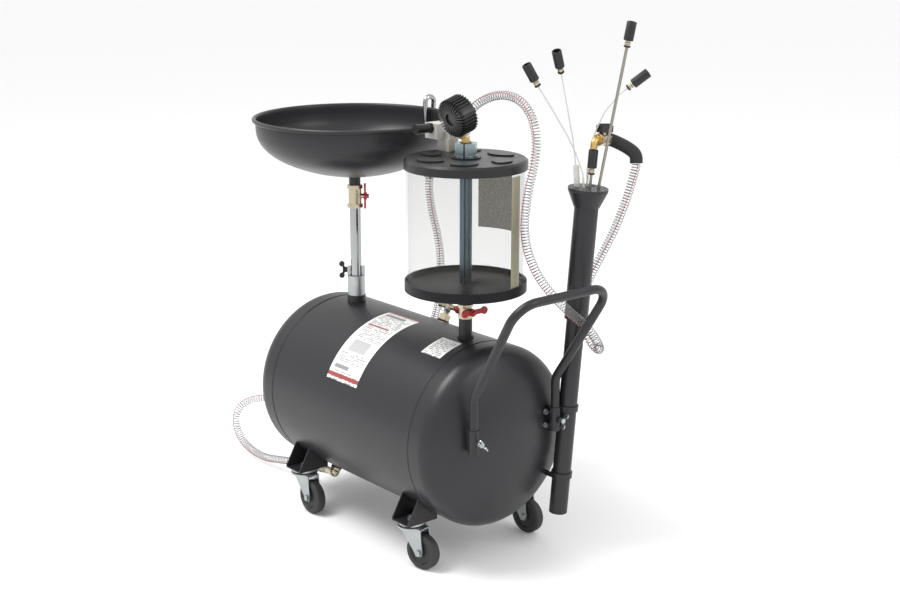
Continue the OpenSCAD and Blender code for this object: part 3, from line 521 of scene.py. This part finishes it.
ridged.bump((ridge_turn / 12).fraction(), 0.002, 0.7)
finish_nodes(ridged, "chamber_base")
blue_zinc = Finish("blue zinc plate", (0.1, 0.14, 0.165), 0.3, 1.0)
blue_zinc.set("Roughness", 0.2 + 0.2 * blue_zinc.noise(90, 4, (1, 1, 0.1)))
# The tube's slot, like the nut's below, lies between two angles in degrees from +X; its dark inside is painted
# shade, a near-black stripe in the colour.
tie_turn = blue_zinc.angle_about(chamber_x, 0)
tie_slot_painted_shade = (tie_turn > -54) * (tie_turn < -44)
blue_zinc.set("Base Color", blue_zinc.mix(tie_slot_painted_shade, (0.1, 0.14, 0.165, 1), (0.006, 0.008, 0.01, 1)))
finish_nodes(blue_zinc, "chamber_tie_tube")
pale_zinc = Finish("pale blue zinc plate", (0.3, 0.37, 0.39), 0.25, 1.0)
pale_zinc.set("Roughness", 0.16 + 0.2 * pale_zinc.noise(60, 4))
nut_turn = pale_zinc.angle_about(chamber_x, 0)
# The nut's dark slot stripe is painted shade too, a dark stripe in the colour between these angles.
nut_slot_painted_shade = (nut_turn > -54) * (nut_turn < -46)
pale_zinc.set("Base Color", pale_zinc.mix(nut_slot_painted_shade, (0.3, 0.37, 0.39, 1), (0.05, 0.07, 0.07, 1)))
finish_nodes(pale_zinc, "chamber_nut")
rubber = Finish("black rubber", (0.016, 0.016, 0.017), 0.6, Specular_IOR_Level=0.35)
rubber.bump(rubber.noise(700, 3), 0.0003, 0.5)
finish_nodes(rubber, "chamber_gaskets")

# ---- The vacuum gauge's boot and face ----
# A moulded rubber boot with deep fins round its side and back, pushed over a plated case.
# Its face carries a scale of plain ticks.
gauge_middle, gauge_tilt = at(chamber_x, -20, 910), math.radians(18)
fin_count, fin_thickness, fin_ring = 34, 0.0024, 0.0362
boot_outline = [(0, -18.5), (29, -18.5), (34, -14.5), (35.5, -12), (35.5, 16.5), (34, 17.5), (32.1, 17),
                (32.1, -14.2), (0, -14.2)]


def upright(x, y, h):
    """A place in millimetres on a piece that is turned upright first and moved afterwards."""
    return Vector((x, y, h)) * mm


def fin_tree():
    """A ring of upright fins and a crown of flat ones, added to whatever comes in."""
    tree = bpy.data.node_groups.new("finned boot", "GeometryNodeTree")
    tree.interface.new_socket("Boot", in_out="INPUT", socket_type="NodeSocketGeometry")
    for name, kind in (("Fins", "NodeSocketInt"), ("Ring radius", "NodeSocketFloat"),
                       ("Rubber", "NodeSocketMaterial")):
        tree.interface.new_socket(name, in_out="INPUT", socket_type=kind)
    tree.interface.new_socket("Boot", in_out="OUTPUT", socket_type="NodeSocketGeometry")
    given = tree.nodes.new("NodeGroupInput").outputs

    def node(kind, settings={}, values={}):
        return new_node(tree, kind, settings, values).outputs[0]

    def fin(length, height, along, up):
        block = node("GeometryNodeMeshCube", {}, {"Size": (length, fin_thickness, height)})
        return node("GeometryNodeTransform", {}, {"Geometry": block, "Translation": (along, 0, up)})

    def joined(*parts):
        join = tree.nodes.new("GeometryNodeJoinGeometry")
        for part in parts:
            tree.links.new(part, join.inputs[0])
        return join.outputs[0]

    side_and_back = joined(fin(length=0.006, height=0.033, along=0, up=-0.0008),
                           fin(length=0.022, height=0.006, along=-0.0125, up=-0.0195))
    ring = node("GeometryNodeMeshCircle", {}, {"Vertices": given["Fins"], "Radius": given["Ring radius"]})
    step = node("ShaderNodeMath", {"operation": "DIVIDE"}, {0: 2 * math.pi, 1: given["Fins"]})
    turn = node("ShaderNodeMath", {"operation": "MULTIPLY"}, {0: node("GeometryNodeInputIndex"), 1: step})
    fins = node("GeometryNodeInstanceOnPoints", {}, {
        "Points": ring, "Instance": side_and_back, "Rotation": node("ShaderNodeCombineXYZ", {}, {2: turn})})
    real = node("GeometryNodeRealizeInstances", {}, {"Geometry": joined(fins, given["Boot"])})
    coated = node("GeometryNodeSetMaterial", {}, {"Geometry": real, "Material": given["Rubber"]})
    tree.links.new(coated, tree.nodes.new("NodeGroupOutput").inputs[0])
    return tree


boot_rubber = Finish("glossy boot rubber", (0.012, 0.012, 0.013), 0.3)
boot_rubber.set("Roughness", 0.25 + 0.2 * boot_rubber.noise(120, 3))
boot = turned("gauge_boot_look", boot_outline, upright, steps=96, sharp=30)
boot = made_plain(boot, fin_tree(), {"Fins": fin_count, "Ring radius": fin_ring,
                                     "Rubber": boot_rubber.material})
on_gauge = (Matrix.Translation(gauge_middle) @ Matrix.Rotation(gauge_tilt, 4, "X")
            @ Matrix.Rotation(-math.pi / 2, 4, "X"))
boot.data.transform(on_gauge)
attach(boot, "drainer")
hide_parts("gauge_boot")

dial_white, dial_ink, dial_radius, dial_face = (0.8, 0.8, 0.78), (0.02, 0.02, 0.02), 29.5, 4.8
tick_spacing, tick_width, scale_half, scale_inside, scale_outside = 9, 0.18, 136, 0.38, 0.44
print_size = 0.06
dial_print = Finish("printed dial", dial_white, 0.4)
dial_parts = dial_print.node("ShaderNodeSeparateXYZ", {}, {0: dial_print.place("UV")}).outputs
dial_x, dial_y = Number(dial_print, dial_parts[0]) - 0.5, Number(dial_print, dial_parts[1]) - 0.5
dial_r = (dial_x * dial_x + dial_y * dial_y) ** 0.5
dial_turn = Number(dial_print, dial_print.node("ShaderNodeMath", {"operation": "ARCTAN2"}, {
    0: dial_x, 1: dial_y}).outputs[0]) * (180 / math.pi)
tick = (((dial_turn / tick_spacing).fraction() > 1 - tick_width) * (dial_r > scale_inside)
        * (dial_r < scale_outside) * (dial_turn.size() < scale_half))
dial_print.set("Base Color", dial_print.mix(tick, (*dial_white, 1), (*dial_ink, 1)))
dial_outline = [(dial_radius, dial_face - 0.5), (dial_radius, dial_face), (0, dial_face)]
dial = turned("gauge_dial", dial_outline, upright, steps=64)
dial_uv = dial.data.uv_layers.new(name="print")
for loop in dial.data.loops:
    spot = dial.data.vertices[loop.vertex_index].co
    dial_uv.data[loop.index].uv = (0.5 + spot.x / print_size, 0.5 + spot.y / print_size)
dial.data.transform(on_gauge)
dress(dial, dial_print, "drainer", "white_nylon")

# ---- The label and the level strip on the chamber ----
# Vinyl stuck to the outside of the clear wall.
# The far label shows its grey back through the wall; the near strip marks the oil's level.
strip_radius = 119.9


def on_wall(name, a0, a1, z0, z1, finish):
    """A sticker on the chamber's wall, between two angles from +X and two heights."""
    points, faces = [], []
    columns = 24
    for z in (z0, z1):
        for i in range(columns + 1):
            a = math.radians(a0 + (a1 - a0) * i / columns)
            points.append(at(chamber_x + strip_radius * math.cos(a), strip_radius * math.sin(a), z))
    for i in range(columns):
        faces.append((i, i + 1, columns + 2 + i, columns + 1 + i))
    dress(meshed(name, points, faces), finish, "drainer", "white_nylon")


label_back = Finish("back of a vinyl label", (0.24, 0.235, 0.21), 0.6)
weave = ((label_back.noise(420, 2) - 0.5) * 4.0 + 0.5).capped()
label_back.set("Base Color", label_back.mix(weave, (0.36, 0.35, 0.3, 1), (0.62, 0.61, 0.54, 1)))
on_wall("chamber_label", 88, 127, 661, 803, label_back)
level_print = Finish("level strip", (0.24, 0.22, 0.14), 0.5)
level_print.set("Base Color", level_print.mix(level_print.noise(60, 3, (1, 1, 0.2)), (0.2, 0.185, 0.12, 1),
                                              (0.34, 0.32, 0.23, 1)))
on_wall("level_strip", 7, 21, 577, 800, level_print)

# ---- Valves and brass fittings ----
# Forged brass bodies, nickel plated, and bare brass nipples, all screwed together with sealed threads.
# The levers are pressed steel with a red coat, and the vacuum block is cast zinc.
nickel = Finish("nickel-plated brass", (0.5, 0.44, 0.32), 0.28, 1.0)
nickel.set("Roughness", 0.2 + 0.3 * nickel.noise(70, 4))
finish_nodes(nickel, "drain_fitting", "drain_valve", "head_valve", "mast_valve", "air_tee")
brass = Finish("bare brass", (0.6, 0.42, 0.16), 0.3, 1.0)
brass.set("Roughness", 0.22 + 0.3 * brass.noise(90, 4))
finish_nodes(brass, "gauge_nipple", "air_inlet", "suction_elbow", "head_elbow")
red_coat = Finish("red powder coat", (0.42, 0.03, 0.035), 0.35)
red_coat.bump(red_coat.noise(900, 2), 0.0002, 0.3)
finish_nodes(red_coat, "drain_lever", "mast_lever", "air_knob")
cast_zinc = Finish("cast zinc", (0.5, 0.49, 0.46), 0.5, 0.4)
cast_zinc.bump(cast_zinc.noise(500, 4), 0.0004, 0.5)
finish_nodes(cast_zinc, "vacuum_block")

# ---- Mast, spout and probes ----
# Chromed steel tube slides in the mast's sleeve, with the spout's hook bent at its top.
# The probes are thin tubes, of bare steel and of natural nylon where they have to bend.
chrome = Finish("bright chrome", (0.36, 0.37, 0.37), 0.1, 1.0)
chrome.set("Roughness", 0.08 + 0.1 * chrome.noise(50, 3))
finish_nodes(chrome, "mast_tube", "discharge_spout")
bare_steel = Finish("bare steel", (0.3, 0.28, 0.25), 0.4, 1.0)
bare_steel.set("Roughness", 0.3 + 0.2 * bare_steel.noise(70, 4))
finish_nodes(bare_steel, "steel_probe", "working_probe")
nylon = Finish("natural nylon", (0.62, 0.62, 0.58), 0.3)
nylon.set("Alpha", 0.62 + 0.35 * nylon.edge_on(0.4))
finish_nodes(nylon, "nylon_probes")

# ---- The suction head's grip ----
# A soft black sleeve, pulled over the bent brass tail of the suction head.
# The hose goes up inside its lower end.
grip_radius, grip_sides = 0.0127, 32
grip_points = [
    (374.8, 209.8, 862.5), (374.5, 213.8, 862), (376.6, 218.4, 860.5), (382, 222.2, 858.2), (390, 226, 855),
    (399, 230.5, 850.8), (408, 235.4, 845.5), (417, 240, 838.5), (423, 241, 830), (425, 240, 818)]
grip_line = smooth_line(grip_points, 5)
first_end, last_end = 0.7, 0.78


def sleeve_along(name, line):
    """A round sleeve along a line, drawn in at both ends."""
    runs = [(b - a).normalized() for a, b in zip(line, line[1:])]
    ways = [runs[0]] + [(a + b).normalized() for a, b in zip(runs, runs[1:])] + [runs[-1]]
    rings = [(line[0], ways[0], first_end)]
    rings += [(place, way, 1.0) for place, way in zip(line, ways)]
    rings += [(line[-1], ways[-1], last_end)]
    side, points, faces = Vector((0, 0, 1)), [], []
    for place, way, swell in rings:
        side = (side - side.dot(way) * way).normalized()
        across = way.cross(side)
        for i in range(grip_sides):
            turn = 2 * math.pi * i / grip_sides
            points.append(place + grip_radius * swell * (math.cos(turn) * side + math.sin(turn) * across))
    for low in range(0, len(points) - grip_sides, grip_sides):
        high = low + grip_sides
        for i in range(grip_sides):
            k = (i + 1) % grip_sides
            faces.append((low + i, low + k, high + k, high + i))
    faces += [tuple(reversed(range(grip_sides))), tuple(range(len(points) - grip_sides, len(points)))]
    return meshed(name, points, faces, sharp=50)


grip = sleeve_along("head_grip_look", grip_line)
dress(grip, rubber, "drainer", "black_rubber", "head_grip")

# ---- The probes' couplers and the suction head's lever ----
# Moulded black sleeves pushed on plated tails, each with a rubber ring at its foot.
# The lever is one moulded block with a row of nubs, screwed to the valve's stem.
mouth = (374, 160, 772)
sleeve_outline = [(7, 49), (8.8, 49), (9.5, 48), (9.5, 14), (8.6, 13), (5.5, 13), (5.5, 14.5), (0, 14.5),
                  (0, 27), (7, 27), (7, 49)]
tail_outline = [(0, 1.6), (4.4, 1.6), (4.4, 5), (5.9, 6), (5.9, 9.5), (4.8, 10.5), (4.8, 14.4), (0, 14.4)]
ring_outline = [(0, 0), (6, 0), (6.6, 1), (6.6, 2.4), (6, 3.2), (4.5, 3.2), (4.5, 1.5), (0, 1.5)]
knurled = Finish("knurled black moulding", (0.013, 0.013, 0.014), 0.45, Specular_IOR_Level=0.4)
knurled.bump(knurled.noise(420, 2), 0.0006, 0.7)


def coupler(number, foot, way, body):
    """A quick coupler's three pieces, standing on its foot and pointing its own way."""
    lift = Matrix.Translation(at(*foot)) @ Vector(way).to_track_quat("Z", "Y").to_matrix().to_4x4()
    pieces = []
    for part, outline, finish, slot in (("sleeve", sleeve_outline, knurled, "black_plastic"),
                                        ("tail", tail_outline, nickel, "nickel"),
                                        ("ring", ring_outline, rubber, "black_rubber")):
        piece = turned(f"coupler_{part}_{number}", outline, upright, steps=32)
        piece.data.transform(lift)
        dress(piece, finish, body, slot)
        pieces.append(piece)
    return pieces


def from_mouth(x, y, z):
    """A place given from the mouth of the probes' storage tube."""
    return (mouth[0] + x, mouth[1] + y, mouth[2] + z)


store_way = Vector((40, 26, 688)).normalized()
head_place = Vector(mouth) + Vector((1, 4, 0)) + 86 * store_way
first = coupler(1, from_mouth(-49, -93, 201), (-9, -24, 43), "drainer")
coupler(2, from_mouth(-37, -44, 224), (8, -22, 46), "drainer")
coupler(3, from_mouth(54, 46, 196), (32, 26, 33), "drainer")
coupler(4, tuple(head_place - 60 * store_way), store_way, "drainer")
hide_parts("probe_couplers")
steel = coupler(5, from_mouth(60, 34, 275), (46, 19.5, 275), "loose_probe")
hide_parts("steel_probe_coupler")

block = [(-15, -8), (20, -8), (22, -6), (22, 6), (20, 8), (-15, 8), (-17, 6), (-17, -6)]
levels = [(13.5, 0.82), (14.5, 1), (27, 1), (28.5, 0.9)]
nubs, nub_foot, nub_top = (-13, -4, 5, 14), 28, 31
lever_heading, lever_tip = math.radians(97), math.radians(6)


def stacked(layers):
    """Points and faces of a solid whose layers each have the same number of corners."""
    points = [upright(*place) for layer in layers for place in layer]
    n = len(layers[0])
    faces = [tuple(reversed(range(n))), tuple(range(len(points) - n, len(points)))]
    for low in range(0, len(points) - n, n):
        faces += [(low + i, low + (i + 1) % n, low + n + (i + 1) % n, low + n + i) for i in range(n)]
    return points, faces


lever_points, lever_faces = stacked([[(x * k, y * k, z) for x, y in block] for z, k in levels])
for x in nubs:
    foot = [(x, -6, nub_foot), (x + 5, -6, nub_foot), (x + 5, 6, nub_foot), (x, 6, nub_foot)]
    top = [(x + 0.6, -5.5, nub_top), (x + 4.4, -5.5, nub_top), (x + 4.4, 5.5, nub_top),
           (x + 0.6, 5.5, nub_top)]
    nub_points, nub_faces = stacked([foot, top])
    lever_faces += [tuple(len(lever_points) + i for i in face) for face in nub_faces]
    lever_points += nub_points
lever = meshed("head_lever_look", lever_points, lever_faces, sharp=30)
lever.data.transform(
    Matrix.Translation(at(*head_place)) @ Matrix.Rotation(lever_heading, 4, "Z")
    @ Matrix.Rotation(lever_tip, 4, "Y") @ Matrix.Translation(upright(27, 0, 9)))
dress(lever, moulding, "head_tap", "black_plastic", "head_lever")

# ---- The drain bowl ----
# Spun steel, 2 mm thick, with a rolled rim and a spigot welded under its middle.
# It is powder coated like the tank, and stands on the mast.
bowl_side = [(25, 738), (58, 744), (98, 753), (138, 767), (170, 783), (193, 802), (206, 822), (210, 840),
             (211, 858)]
wall, bowl_radius, upright_from, mast_x = 2, 211, 205, -180
rim_radius, rim_height, roll_radius = 213.5, 863.5, 4.5
rim = [(rim_radius + roll_radius * math.cos(a), rim_height + roll_radius * math.sin(a))
       for a in (math.radians(-125 + 30 * i) for i in range(11))]
inside = [(r - wall * min(1, (r / upright_from) ** 4), z + wall * (1 - (r / bowl_radius) ** 6))
          for r, z in reversed(bowl_side)]


def curved(outline):
    """A smooth line through an outline's points, as an outline again."""
    return [tuple(q) for q in rounded([Vector(q) for q in outline], 5)]


spigot, spigot_inside = [(9, 718), (12.5, 718), (12.5, 738)], [(9, 740), (9, 718)]
bowl_outline = spigot + curved(bowl_side) + rim + curved(inside) + spigot_inside
bowl = turned("bowl_look", bowl_outline, lambda x, y, h: at(mast_x + x, y, h), steps=160, sharp=50)
dress(bowl, charcoal, "mast", "paint", "bowl")

# ---- The studio ----
# A pale floor that runs out of sight under a bright, even sky.
# Two large soft lights hang above, a strong one at the camera's left and a weak one at its right.
floor_half = 60.0
floor = meshed("floor", [(-floor_half, -floor_half, 0), (floor_half, -floor_half, 0),
                         (floor_half, floor_half, 0), (-floor_half, floor_half, 0)], [(0, 1, 2, 3)])
pale = Finish("pale floor", (0.9, 0.9, 0.9), 0.8)
floor.data.materials.append(pale.material)
bpy.context.scene.view_settings.view_transform = "Standard"
sky = bpy.data.worlds.new("sky")
sky.use_nodes = True
sky_glow = sky.node_tree.nodes["Background"].inputs
sky_glow["Color"].default_value, sky_glow["Strength"].default_value = (1, 1, 1, 1), 1.05
bpy.context.scene.world = sky


aim, lamp_size = Vector((0, 0, 0.45)), 1.6


def soft_light(name, place, power):
    """A square area light at a place in metres, aimed at the middle of the scene."""
    lamp = bpy.data.lights.new(name, "AREA")
    lamp.shape, lamp.size, lamp.energy = "SQUARE", lamp_size, power
    light = bpy.data.objects.new(name, lamp)
    light.location = place
    light.rotation_euler = (aim - light.location).to_track_quat("-Z", "Y").to_euler()
    bpy.context.collection.objects.link(light)


soft_light("key_light", Vector((-0.9, -1.6, 3.6)), 110)
soft_light("side_light", Vector((3.2, 1.2, 2.6)), 30)

# ---- The end ----
bpy.context.view_layer.update()
